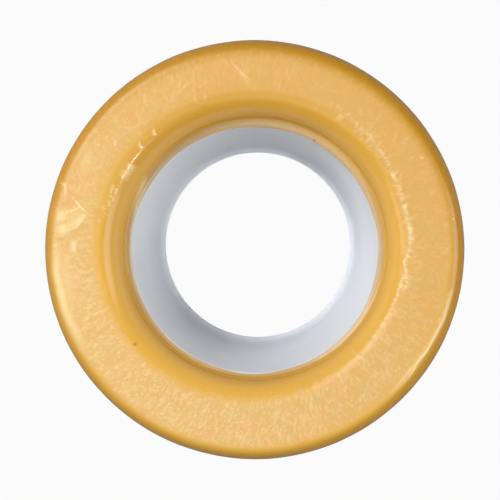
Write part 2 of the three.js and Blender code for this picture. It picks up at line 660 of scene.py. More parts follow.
@dataclass
class TurnedPiece:
    """A closed section turned about the Z axis by Geometry Nodes, and keyed by a row of pegs."""

    name: str
    section: list[Point]
    turn_steps: int
    keys: KeyRow
    material: bpy.types.Material
    crown_print: CrownPrint | None = None
    key_sides: int = 24
    sharp_angle: float = math.radians(38)
    path_radius: float = 50 * MM

    def build(self) -> bpy.types.Object:
        """Turns the section.

        Returns:
            A plain mesh object at the origin, with its faces outwards.
        """
        piece = self._section_object()
        tree = bpy.data.node_groups.new(f"{self.name}_turned", "GeometryNodeTree")
        inputs = self._fill(tree)
        modifier = piece.modifiers.new("turned", "NODES")
        modifier.node_group = tree
        inputs.set_on(modifier)
        depsgraph = bpy.context.evaluated_depsgraph_get()
        mesh = bpy.data.meshes.new_from_object(piece.evaluated_get(depsgraph))
        piece.modifiers.clear()
        piece.data = mesh
        mesh.name = self.name
        return piece

    def _section_object(self) -> bpy.types.Object:
        """The section as a closed line. Curve to Mesh lays its Y axis along -Z.

        Returns:
            The object that gets the modifier.
        """
        mesh = bpy.data.meshes.new(f"{self.name}_section")
        count = len(self.section)
        edges = [(i, (i + 1) % count) for i in range(count)]
        mesh.from_pydata([(r, -z, 0) for r, z in self.section], edges, [])
        piece = bpy.data.objects.new(self.name, mesh)
        bpy.context.scene.collection.objects.link(piece)
        return piece

    def _fill(self, tree: Tree) -> TreeInputs:
        """Builds the tree.

        Args:
            tree: The empty tree.

        Returns:
            The tree's named inputs.
        """
        tree.interface.new_socket("Piece", in_out="OUTPUT", socket_type="NodeSocketGeometry")
        inputs = TreeInputs(tree)
        geometry = self._turned(tree, inputs)
        if self.crown_print:
            geometry = self.crown_print.add_to(tree, inputs, geometry)
        geometry = self._keyed(tree, inputs, geometry)
        edge = add_node(tree, "GeometryNodeInputMeshEdgeAngle")
        sharp = inputs.add("Sharp Angle", self.sharp_angle)
        soft = add_node(tree, "FunctionNodeCompare", {0: edge, 1: sharp}, operation="LESS_THAN")
        ends = {"Geometry": geometry, "Shade Smooth": soft}
        shaded = add_node(tree, "GeometryNodeSetShadeSmooth", ends, domain="EDGE")
        real = add_node(tree, REALIZE, {0: shaded})
        ends = {"Geometry": real, "Material": inputs.add("Material", self.material)}
        dressed = add_node(tree, "GeometryNodeSetMaterial", ends)
        add_node(tree, "NodeGroupOutput", {0: dressed})
        return inputs

    def _turned(self, tree: Tree, inputs: TreeInputs) -> Node:
        """Sweeps the section round a circle.

        Args:
            tree: The piece's tree.
            inputs: Its named inputs.

        Returns:
            The node that gives the closed surface.
        """
        path_radius = inputs.add("Path Radius", self.path_radius)
        shift = add_node(tree, MATH, {0: path_radius, 1: -1.0}, operation="MULTIPLY")
        offset = add_node(tree, COMBINE, {0: shift})
        line = add_node(tree, "GeometryNodeMeshToCurve", {0: inputs.node.outputs["Section"]})
        section = add_node(tree, SET_POSITION, {"Geometry": line, "Offset": offset})
        ends = {"Resolution": inputs.add("Turn Steps", self.turn_steps), "Radius": path_radius}
        path = add_node(tree, "GeometryNodeCurvePrimitiveCircle", ends)
        ends = {"Curve": path, "Profile Curve": section}
        swept = add_node(tree, "GeometryNodeCurveToMesh", ends)
        return add_node(tree, "GeometryNodeFlipFaces", {"Mesh": swept})

    def _keyed(self, tree: Tree, inputs: TreeInputs, geometry: Node) -> Node:
        """Joins the row of pegs to the piece, or cuts it out.

        Args:
            tree: The piece's tree.
            inputs: Its named inputs.
            geometry: The piece without the pegs.

        Returns:
            The node that gives the keyed piece.
        """
        keys = self.keys
        ends = {
            "Vertices": inputs.add("Key Count", keys.count),
            "Radius": inputs.add("Key Pitch Radius", keys.pitch_radius),
        }
        ring = add_node(tree, "GeometryNodeMeshCircle", ends)
        height = add_node(tree, COMBINE, {2: inputs.add("Key Height", keys.height)})
        raised = add_node(tree, SET_POSITION, {"Geometry": ring, "Offset": height})
        ends = {
            "Vertices": self.key_sides,
            "Radius": inputs.add("Key Radius", keys.radius),
            "Depth": inputs.add("Key Length", keys.length),
        }
        peg = add_node(tree, "GeometryNodeMeshCylinder", ends)
        ends = {"Points": raised, "Instance": peg}
        pegs = add_node(tree, "GeometryNodeInstanceOnPoints", ends)
        real = add_node(tree, REALIZE, {0: pegs})
        ends = {"Mesh 2" if keys.use is KeyUse.PLUGS else "Mesh 1": geometry}
        boolean = add_node(
            tree, "GeometryNodeMeshBoolean", ends, operation=keys.use.value, solver="MANIFOLD"
        )
        tree.links.new(real.outputs[0], boolean.inputs["Mesh 2"])
        return boolean


@dataclass(frozen=True)
class Crease:
    """A fold, scratch or raised stroke in the wax's upper surface.

    Attributes:
        path: Azimuth in degrees and radius in millimetres of each point.
        height: How far the stroke stands out, or less than 0 for a groove.
        width: Distance from its line at which it has fallen to a third.
        pale_and_highlight: How pale it is, from 0 to 1. On strokes that stand for glints and
            sheen, this paleness is painted highlight.
        end_share: Share of the path at each end past which it fades no further.
    """

    path: tuple[Point, ...]
    height: float = 0.25 * MM
    width: float = 0.35 * MM
    pale_and_highlight: float = 0.8
    end_share: float = 0.02

    def line(self) -> np.ndarray:
        """The path as level places.

        Returns:
            X and Y of each point in metres, one row each.
        """
        azimuths = np.radians([azimuth for azimuth, _ in self.path])
        radii = np.array([radius for _, radius in self.path]) * MM
        return np.stack([radii * np.cos(azimuths), radii * np.sin(azimuths)], axis=1)

    def strength(self, places: np.ndarray) -> np.ndarray:
        """How strong the stroke is at each place: 1 on its line, 0 away from it and at its ends.

        Args:
            places: Level places, one row each.

        Returns:
            One number from 0 to 1 for each place.
        """
        line = self.line()
        strongest = np.zeros(len(places))
        last = len(line) - 1
        for index in range(last):
            start, step = line[index], line[index + 1] - line[index]
            share = np.clip(((places - start) @ step) / (step @ step), 0, 1)
            away = np.linalg.norm(places - start - share[:, None] * step, axis=1)
            along = np.clip((index + share) / last, self.end_share, 1 - self.end_share)
            fade = np.sqrt(np.sin(math.pi * along))
            strongest = np.maximum(strongest, fade * np.exp(-((away / self.width) ** 2)))
        return strongest


@dataclass(frozen=True)
class CreaseFan:
    """Fine lines side by side, from one crease to another, as where a film was pulled tight."""

    first: Crease
    last: Crease
    count: int
    seed: int = 1
    uneven: float = 0.4
    faintest: float = 0.3

    def creases(self) -> list[Crease]:
        """The lines, spaced unevenly from the first to the last, some of them faint.

        Returns:
            One crease for each line.
        """
        chance = np.random.default_rng(self.seed)
        fan = []
        for even_share in np.linspace(0, 1, self.count):
            share = even_share + chance.uniform(-self.uneven, self.uneven) / self.count
            strength = chance.uniform(self.faintest, 1)
            path = tuple(
                (a[0] + (b[0] - a[0]) * share, a[1] + (b[1] - a[1]) * share)
                for a, b in zip(self.first.path, self.last.path)
            )
            height, pale_and_highlight = self.first.height * strength, self.first.pale_and_highlight * strength
            fan.append(Crease(path, height, self.first.width, pale_and_highlight))
        return fan


@dataclass(frozen=True)
class Flecks:
    """Short bent strokes scattered over a sector of the crown.

    Attributes:
        azimuths: The sector's ends, in degrees.
        radii: The band's edges, in millimetres.
        count: How many strokes there are.
        lean: How far a stroke turns from the radius, in degrees at most.
        seed: Seed of the scatter.
        reach: Half the longest stroke, in millimetres.
        bend: How far its middle lies off the line between its ends, as a share of the reach.
        shortest: The shortest stroke, as a share of the longest.
        faintest: The faintest stroke, as a share of the strongest.
    """

    azimuths: Point
    radii: Point
    count: int
    lean: float = 25
    seed: int = 1
    height: float = 0.18 * MM
    width: float = 0.42 * MM
    pale_and_highlight: float = 0.4
    reach: float = 2.0
    bend: float = 0.4
    shortest: float = 0.37
    faintest: float = 0.5

    def creases(self) -> list[Crease]:
        """The strokes, each bent in the middle.

        Returns:
            One crease for each stroke.
        """
        chance = np.random.default_rng(self.seed)
        strokes = []
        for _ in range(self.count):
            azimuth, radius = chance.uniform(*self.azimuths), chance.uniform(*self.radii)
            reach = self.reach * chance.uniform(self.shortest, 1)
            lean = math.radians(chance.uniform(-self.lean, self.lean))
            turn = math.degrees(reach * math.sin(lean) / radius)
            rise = reach * math.cos(lean)
            bend = math.degrees(reach * chance.uniform(-self.bend, self.bend) / radius)
            start, end = (azimuth - turn, radius - rise), (azimuth + turn, radius + rise)
            path = start, (azimuth + bend, radius), end
            share = chance.uniform(self.faintest, 1)
            strokes.append(Crease(path, self.height * share, self.width, self.pale_and_highlight * share))
        return strokes


@dataclass(frozen=True)
class FeatheredRidge:
    """A ragged ridge of short strokes, which starts sharp on a line and frays out from it.

    Attributes:
        path: Azimuth in degrees and radius in millimetres of each point of the line.
        count: How many strokes there are.
        lean: How far a stroke turns from the radius, in degrees at most.
        reach: The longest stroke, in millimetres.
        seed: Seed of the strokes.
        root: How far inside the line a stroke starts, in millimetres.
        shortest: The shortest stroke, as a share of the longest.
        faintest: The faintest stroke, as a share of the strongest.
        fainter: Power that makes more of the strokes faint.
    """

    path: tuple[Point, ...]
    count: int
    lean: float = 40
    reach: float = 2.0
    seed: int = 1
    height: float = 0.24 * MM
    width: float = 0.26 * MM
    pale_and_highlight: float = 0.8
    root: float = 0.3
    shortest: float = 0.35
    faintest: float = 0.4
    fainter: float = 1.3

    def creases(self) -> list[Crease]:
        """The strokes, placed along the line at random.

        Returns:
            One crease for each stroke.
        """
        chance = np.random.default_rng(self.seed)
        azimuths, radii = np.array(self.path).T
        strokes = []
        for _ in range(self.count):
            along = chance.uniform(0, len(azimuths) - 1)
            azimuth = np.interp(along, range(len(azimuths)), azimuths)
            radius = np.interp(along, range(len(radii)), radii) - self.root
            length = self.reach * chance.uniform(self.shortest, 1)
            lean = math.radians(chance.uniform(-self.lean, self.lean))
            turn = math.degrees(length * math.sin(lean) / radius)
            end = azimuth + turn, radius + length * math.cos(lean)
            share = chance.uniform(self.faintest, 1) ** self.fainter
            line = (azimuth, radius), end
            strokes.append(Crease(line, self.height * share, self.width, self.pale_and_highlight * share))
        return strokes


# A ragged raised ridge along the crown's inner edge on the right, painted pale where light
# sparkles on it: real relief with painted highlight.
INNER_RIDGE_AND_GLINT = (
    FeatheredRidge(((60, 54.6), (49, 53.0), (45, 53.3), (37, 52.5)), 34, seed=21, pale_and_highlight=0.7),
    FeatheredRidge(((40, 52.9), (29, 51.7), (26, 51.8), (17, 50.9)), 46, seed=22, pale_and_highlight=0.9),
    FeatheredRidge(((17, 51.1), (11, 51.1), (6, 51.3), (-1, 50.5)), 70, 30, seed=23, pale_and_highlight=1.0),
    FeatheredRidge(((0, 50.6), (-3, 49.6), (-5, 49.0)), 18, seed=24, pale_and_highlight=0.9),
    FeatheredRidge(((-4, 49.2), (-8, 50.2), (-12, 51.3), (-15, 50.4)), 34, seed=25, pale_and_highlight=0.9),
    FeatheredRidge(((-9, 49.8), (-13, 49.0), (-17, 49.0)), 20, 60, seed=26, pale_and_highlight=0.8),
    FeatheredRidge(((-17, 49.0), (-22, 48.6), (-37, 48.1)), 30, 60, seed=27, pale_and_highlight=0.45),
)
OUTER_SHEEN = (
    FeatheredRidge(((-12, 65.5), (-20, 65.0), (-35, 64.4)), 34, 85, 2.0, 28, 0.12 * MM, pale_and_highlight=0.7),
    FeatheredRidge(((176, 64.6), (186, 65.2), (205, 64.4)), 70, 85, 2.4, 29, 0.1 * MM, pale_and_highlight=0.6),
)
LEFT_FOLDS_AND_SHEEN = (
    Crease(((164, 61.4), (165.5, 59.0), (167, 56.4)), 0.35 * MM, pale_and_highlight=1.0),
    Crease(((167, 55.8), (170, 57.3), (172, 58.6), (175, 63.2)), 0.35 * MM, pale_and_highlight=1.0),
    Crease(((145.6, 66.8), (145, 62.8), (144.4, 58.0), (144, 54.9)), -0.3 * MM, 0.4 * MM, 0.0),
    Crease(((178, 66.8), (177, 63.8), (176, 59.9)), -0.35 * MM, 0.4 * MM, 0.0),
    # The next four wide pale strokes are partly painted sheen: cream patches of light on low
    # swells on the left of the crown.
    Crease(((170.5, 62.5), (169, 65.5)), 0.1 * MM, 2.4 * MM, 0.75),
    Crease(((174.5, 61.5), (172.5, 65.0)), 0.1 * MM, 2.0 * MM, 0.85),
    Crease(((176.5, 59.2), (180.5, 59.1)), 0.15 * MM, 1.0 * MM, 0.8),
    Crease(((148, 63.5), (156, 61.0)), 0.08 * MM, 2.0 * MM, 0.3),
    Crease(((152, 62.5), (149.4, 59.9)), -0.15 * MM, pale_and_highlight=0.1),
    Crease(((160.5, 67.5), (160.9, 65.4), (165, 64.0)), 0.2 * MM, 0.5 * MM, 0.6),
    # These two wide pale bands are painted sheen along the left shoulder.
    Crease(((178, 64.8), (186, 65.3), (198, 65.0), (210, 64.6)), 0.05 * MM, 1.5 * MM, 0.7),
    Crease(((180, 61.5), (188, 62.5), (200, 62.5)), 0.0, 2.4 * MM, 0.3),
)
SHORT_STROKES = (
    Crease(((129, 51.9), (131, 50.1))),
    Crease(((141, 58.2), (143, 57.1))),
    Crease(((136, 51.9), (138, 50.4))),
    Crease(((125, 63.4), (127, 59.6)), -0.2 * MM, pale_and_highlight=0.2),
    Crease(((1, 51.2), (5, 56.2), (9, 64.9)), -0.2 * MM, 0.5 * MM, 0.1),
    Crease(((12.5, 54.5), (12.6, 58.9), (10.5, 63.1)), -0.12 * MM, 0.5 * MM, 0.0),
    Crease(((-46, 46.2), (-45, 49.5), (-44, 52.7)), 0.2 * MM, pale_and_highlight=0.4),
    Crease(((-51, 55.5), (-51, 63.2)), -0.25 * MM, 0.5 * MM, 0.1),
    # Painted highlight: a pale band along the thin edge at 147–165°, for gloss that a lamp leaves
    # on it.
    Crease(((147, 43.3), (152, 42.9), (158, 42.5), (165, 42.2)), 0.0, 0.7 * MM, 0.9),
    # Painted highlight: a thin pale line on a low ridge along the shoulder at -11 to -46°, for a
    # lamp's gloss.
    Crease(((-11, 66.2), (-20, 66.0), (-30, 65.4), (-46, 64.8)), 0.1 * MM, 0.55 * MM, 0.85),
    Crease(((29, 62.6), (29.3, 63.2)), 0.3 * MM, 0.4 * MM, 1.0),
    Crease(((9, 66.0), (9.2, 66.5)), 0.2 * MM, 0.4 * MM, 0.9),
)
TENSION_LINES = (
    CreaseFan(
        Crease(((167.6, 56.6), (170.5, 58.4), (174, 62.6)), 0.2 * MM, 0.28 * MM, 0.95),
        Crease(((165.5, 58.6), (167.5, 61.5), (169, 66.0)), 0.2 * MM, 0.28 * MM, 0.95),
        7,
    ),
    CreaseFan(
        Crease(((97, 62.4), (94.5, 59.5), (91, 56.0)), 0.12 * MM, 0.25 * MM, 0.45),
        Crease(((94, 57.7), (92.5, 55.2), (90, 52.6)), 0.12 * MM, 0.25 * MM, 0.45),
        4,
    ),
)
SCATTER = (
    Flecks((176, 206), (53.5, 62.5), 34, seed=3, pale_and_highlight=0.36),
    Flecks((206, 296), (52.0, 64.0), 90, 18, seed=4, pale_and_highlight=0.3),
    Flecks((296, 345), (49.0, 60.0), 30, 50, seed=5, pale_and_highlight=0.3),
    Flecks((-10, 60), (50.8, 54.5), 40, 35, seed=6, pale_and_highlight=0.35),
    Flecks((60, 176), (52.5, 62.5), 40, 40, seed=8, pale_and_highlight=0.25),
    Flecks((0, 60), (55, 64), 16, 60, seed=9, pale_and_highlight=0.25),
    # The next three sectors, on the slope at 144.5–170°, are near-white strokes on small bumps:
    # painted highlight for a lamp's glint on the slope.
    Flecks((144.5, 151), (48.2, 49.6), 16, 30, 10, 0.06 * MM, 0.5 * MM, 1.0, 1.6, 0.3),
    Flecks((155, 163), (49.0, 51.0), 12, 80, 12, 0.12 * MM, 0.25 * MM, 1.0, 0.8),
    Flecks((163, 170), (49.6, 52.0), 7, 80, 16, 0.1 * MM, 0.25 * MM, 0.6, 1.0),
    Flecks((70, 172), (56, 61), 22, 80, 13, 0.09 * MM, 0.25 * MM, 0.25, 6.0, 0.1),
    Flecks((-60, 70), (56, 61), 12, 80, 14, -0.08 * MM, 0.3 * MM, 0.1, 5.0, 0.15),
    Flecks((180, 300), (56, 61), 12, 60, 15, 0.09 * MM, 0.25 * MM, 0.3, 6.0, 0.1),
)


@dataclass(frozen=True)
class MouldedWax:
    """Amber petroleum wax, cast in a mould.

    Wax lets light in a few millimetres, so its edges glow and its shade is warm. It is
    satin where it left the mould, and frosted and paler where a film was pressed into it. Its
    pale layer is partly painted highlight and sheen, and its deeper tone partly painted shade.
    """

    amber: str = "#E3B14F"
    frosted: str = "#D7AB5B"
    warm: str = "#DCA757"
    # Pale layer: the film's pale print marks, and painted highlight and sheen on strokes that
    # stand for glints
    pale_and_highlight: str = "#F4DBA6"
    film: str = "#D2BA98"
    # Deeper tone: the wall's deeper amber, and painted shade in the mouth's corner, on one side of
    # the slope and on the shoulder
    deep_amber_and_shade: str = "#C48E26"
    speck: str = "#A85F1C"
    refraction: float = 1.44
    smooth_roughness: float = 0.22
    frosted_roughness: float = 0.5
    translucency: float = 0.3
    light_depth: float = 3 * MM
    light_spread: tuple[float, float, float] = (1.0, 0.55, 0.2)
    mottle_size: float = 7 * MM
    mottle_detail: float = 4.0
    mottle_range: Point = (0.42, 0.62)
    print_radius: float = 58 * MM
    grain_spacing: float = 1.3 * MM
    grain_length: float = 2.6 * MM
    grain_curl: float = 1.2
    grain_detail: float = 3.0
    grain_depth: float = 0.008 * MM
    smooth_grain_share: float = 0.1
    grain_range: Point = (0.5, 0.72)
    grain_bloom: float = 0.1
    stroke_spacing: float = 2.0 * MM
    stroke_length: float = 4.2 * MM
    stroke_width: float = 0.022
    stroke_curl: float = 1.4
    stroke_height: float = 0.035 * MM
    stroke_bloom: float = 0.3
    stroke_azimuth: float = math.radians(240)
    stroke_sides: Point = (-0.3, 0.7)
    stroke_least: float = 0.12
    patch_size: float = 6 * MM
    patch_detail: float = 2.0
    patch_range: Point = (0.42, 0.6)

    def material(self) -> bpy.types.Material:
        """Builds the material.

        Returns:
            The material, which reads the wax's zones from its vertex attributes.
        """
        material = bpy.data.materials.new("moulded_amber_wax")
        tree = empty_tree(material)
        zones = {
            zone: add_node(tree, "ShaderNodeAttribute", attribute_name=zone.value).outputs["Fac"]
            for zone in Zone
        }
        frost = zones[Zone.FROST]
        position = add_node(tree, "ShaderNodeTexCoord").outputs["Object"]
        place = RingPlace.of(tree, position)
        grain = self._noise(place, self.grain_spacing, self.grain_length, self.grain_curl)
        strokes = self._strokes(place, position, frost)
        colour = self._colour(tree, position, zones, grain, strokes)
        ends = {0: frost, 3: self.smooth_roughness, 4: self.frosted_roughness}
        roughness = add_node(tree, MAP_RANGE, ends)
        ends = {0: frost, 3: self.smooth_grain_share * self.grain_depth, 4: self.grain_depth}
        depth = add_node(tree, MAP_RANGE, ends)
        ripple = add_node(tree, MATH, {0: grain, 1: depth}, operation="MULTIPLY")
        ends = {0: strokes, 1: self.stroke_height, 2: ripple}
        height = add_node(tree, MATH, ends, operation="MULTIPLY_ADD")
        ends = {"Height": height, "Strength": 1.0, "Distance": 1.0}
        bump = add_node(tree, "ShaderNodeBump", ends)
        ends = {
            "Base Color": colour,
            "Roughness": roughness,
            "Normal": bump,
            "IOR": self.refraction,
            "Subsurface Weight": self.translucency,
            "Subsurface Radius": self.light_spread,
            "Subsurface Scale": self.light_depth,
        }
        shader = add_node(tree, "ShaderNodeBsdfPrincipled", ends)
        add_node(tree, "ShaderNodeOutputMaterial", {"Surface": shader})
        return material

    def _noise(self, place: RingPlace, spacing: float, length: float, curl: float) -> Node:
        """Noise from 0 to 1 that is drawn out along the radius, as the film's crinkles are.

        Args:
            place: Where a point is.
            spacing: Size of the noise around the ring.
            length: Size of the noise along the radius.
            curl: How much it curls.

        Returns:
            The node that gives the noise.
        """
        ends = {
            "Vector": place.drawn_out(self.print_radius / spacing, length),
            "Scale": 1.0,
            "Detail": self.grain_detail,
            "Distortion": curl,
        }
        return add_node(place.tree, NOISE, ends)

    def _strokes(self, place: RingPlace, position: Socket, frost: Socket) -> Node:
        """Thin curls on the frosted wax, in patches, and most of them on one side.

        Args:
            place: Where a point is, as a direction and a radius.
            position: The same as a position.
            frost: How frosted the wax is.

        Returns:
            The node that gives 1 on a curl.
        """
        tree = place.tree
        curls = self._noise(place, self.stroke_spacing, self.stroke_length, self.stroke_curl)
        line = thin_lines(tree, curls, self.stroke_width)
        ends = {"Vector": position, "Scale": 1 / self.patch_size, "Detail": self.patch_detail}
        cloud = add_node(tree, NOISE, ends)
        low, high = self.patch_range
        patch = add_node(tree, MAP_RANGE, {0: cloud, 1: low, 2: high})
        outward = add_node(tree, VECTOR_MATH, {0: position}, operation="NORMALIZE")
        ends = {0: outward, 1: direction(self.stroke_azimuth)}
        side = add_node(tree, VECTOR_MATH, ends, operation="DOT_PRODUCT").outputs["Value"]
        low, high = self.stroke_sides
        ends = {0: side, 1: low, 2: high, 3: self.stroke_least, 4: 1.0}
        strength = add_node(tree, MAP_RANGE, ends)
        drawn = add_node(tree, MATH, {0: line, 1: patch}, operation="MULTIPLY")
        here = add_node(tree, MATH, {0: strength, 1: frost}, operation="MULTIPLY")
        return add_node(tree, MATH, {0: drawn, 1: here}, operation="MULTIPLY")

    def _colour(
        self, tree: Tree, position: Socket, zones: dict[Zone, Socket], grain: Node, strokes: Node
    ) -> Socket:
        """Mixes the wax's colour from its zones, with slow patches of a warmer tone.

        Args:
            tree: The material's tree.
            position: Where a point is.
            zones: How far it lies in each zone.
            grain: The noise of the fine grain.
            strokes: 1 on a curl.

        Returns:
            The socket that gives the colour.
        """
        frost = zones[Zone.FROST]
        ends = {"Vector": position, "Scale": 1 / self.mottle_size, "Detail": self.mottle_detail}
        mottle = add_node(tree, NOISE, ends)
        low, high = self.mottle_range
        patches = add_node(tree, MAP_RANGE, {0: mottle, 1: low, 2: high})
        warmth = add_node(tree, MATH, {0: patches, 1: frost}, operation="MULTIPLY")
        low, high = self.grain_range
        specks = add_node(tree, MAP_RANGE, {0: grain, 1: low, 2: high, 4: self.grain_bloom})
        fine = add_node(tree, MATH, {0: specks, 1: frost}, operation="MULTIPLY")
        ends = {0: strokes, 1: self.stroke_bloom, 2: fine}
        drawn = add_node(tree, MATH, ends, operation="MULTIPLY_ADD")
        ends = {0: drawn, 1: zones[Zone.BLOOM]}
        pale = add_node(tree, MATH, ends, operation="ADD", use_clamp=True)
        colour: Colour | Socket = linear(self.amber)
        # The pale layer is partly painted highlight and sheen, and the deeper layer partly painted
        # shade.
        layers = (
            (frost, self.frosted),
            (warmth, self.warm),
            (zones[Zone.DEEP_AMBER_AND_SHADE], self.deep_amber_and_shade),
            (zones[Zone.FILM], self.film),
            (pale, self.pale_and_highlight),
            (zones[Zone.SPECK], self.speck),
        )
        for share, layer in layers:
            ends = {MIX_FACTOR: share, MIX_FIRST: colour, MIX_SECOND: linear(layer)}
            colour = add_node(tree, MIX, ends, data_type="RGBA").outputs[MIX_RESULT]
        return colour


@dataclass(frozen=True)
class MouldedPolyethylene:
    """Natural white low-density polyethylene, injection moulded.

    It is slightly see-through and waxy, so its gloss is soft and its shade isn't black.
    """

    white: str = "#E8ECF2"
    cloud: str = "#DDE2EA"
    refraction: float = 1.51
    gloss_roughness: float = 0.34
    translucency: float = 0.15
    light_depth: float = 2 * MM
    light_spread: tuple[float, float, float] = (1.0, 0.95, 0.9)
    cloud_size: float = 14 * MM
    skin_size: float = 0.9 * MM
    skin_depth: float = 0.012 * MM
    detail: float = 2.0

    def material(self) -> bpy.types.Material:
        """Builds the material.

        Returns:
            The material, with faint clouds in its colour and a fine moulded skin.
        """
        material = bpy.data.materials.new("moulded_white_polyethylene")
        tree = empty_tree(material)
        position = add_node(tree, "ShaderNodeTexCoord").outputs["Object"]
        clouds, skin = (
            add_node(tree, NOISE, {"Vector": position, "Scale": 1 / size, "Detail": self.detail})
            for size in (self.cloud_size, self.skin_size)
        )
        ends = {
            MIX_FACTOR: clouds,
            MIX_FIRST: linear(self.white),
            MIX_SECOND: linear(self.cloud),
        }
        colour = add_node(tree, MIX, ends, data_type="RGBA").outputs[MIX_RESULT]
        ends = {"Height": skin, "Strength": 1.0, "Distance": self.skin_depth}
        bump = add_node(tree, "ShaderNodeBump", ends)
        ends = {
            "Base Color": colour,
            "Roughness": self.gloss_roughness,
            "Normal": bump,
            "IOR": self.refraction,
            "Subsurface Weight": self.translucency,
            "Subsurface Radius": self.light_spread,
            "Subsurface Scale": self.light_depth,
        }
        shader = add_node(tree, "ShaderNodeBsdfPrincipled", ends)
        add_node(tree, "ShaderNodeOutputMaterial", {"Surface": shader})
        return material


@dataclass
class HornSleeve:
    """The moulded plastic horn with its turned-in end lip and its keyed brim."""

    sizes: SealSizes
    finish: MouldedPolyethylene
    turn_steps: int = 240
    corner_steps: int = 10
    wall_steps: int = 10
    brim_steps: int = 5
    round_steps: int = 4
    lip_steps: int = 3
    lip_rise: float = 0.6  # how far the lip's edge rises over its rounding, as a share of it

    def section(self) -> list[Point]:
        """The closed section, counter-clockwise from the horn's lower end.

        Returns:
            The section's points.
        """
        s = self.sizes
        foot = s.beside_taper(s.end_round, s.sleeve_wall)
        outer = arc(s.under_centre, s.under_fillet, s.corner_turn, 0, self.corner_steps)
        inner = arc(s.upper_centre, s.corner_round, 0, s.corner_turn, self.corner_steps)
        lip_root = s.beside_taper(s.end_lip_height + s.end_lip_slope, 0)
        lip_edge = (s.bore_radius, s.end_lip_height)
        lip_top = (s.bore_radius + s.end_round, s.end_lip_height + s.end_round * self.lip_rise)
        under_brim, over_brim = (s.brim_radius, s.brim_floor), (s.brim_radius, s.brim_top)
        end_inside, end_face = (s.bore_radius, s.end_round), (s.bore_radius + s.end_round, 0)
        return [
            *quarter(end_inside, end_face, False, self.round_steps),
            *quarter((foot[0] - s.end_round, 0), foot, True, self.round_steps),
            *between(foot, outer[0], self.wall_steps),
            *outer,
            *between(outer[-1], under_brim, self.brim_steps),
            under_brim,
            over_brim,
            *between(over_brim, inner[0], self.brim_steps),
            *inner,
            *between(inner[-1], lip_root, self.wall_steps),
            lip_root,
            *between(lip_root, lip_top, self.lip_steps),
            *quarter(lip_top, lip_edge, True, self.round_steps),
        ]

    def build(self) -> bpy.types.Object:
        """Builds and dresses the sleeve, in place of its CAD node.

        Returns:
            The sleeve.
        """
        keys = KeyRow.of(self.sizes, KeyUse.HOLES)
        name, material = "moulded_horn_sleeve", self.finish.material()
        piece = TurnedPiece(name, self.section(), self.turn_steps, keys, material).build()
        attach(piece, BODY)
        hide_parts("horn_sleeve")
        return piece


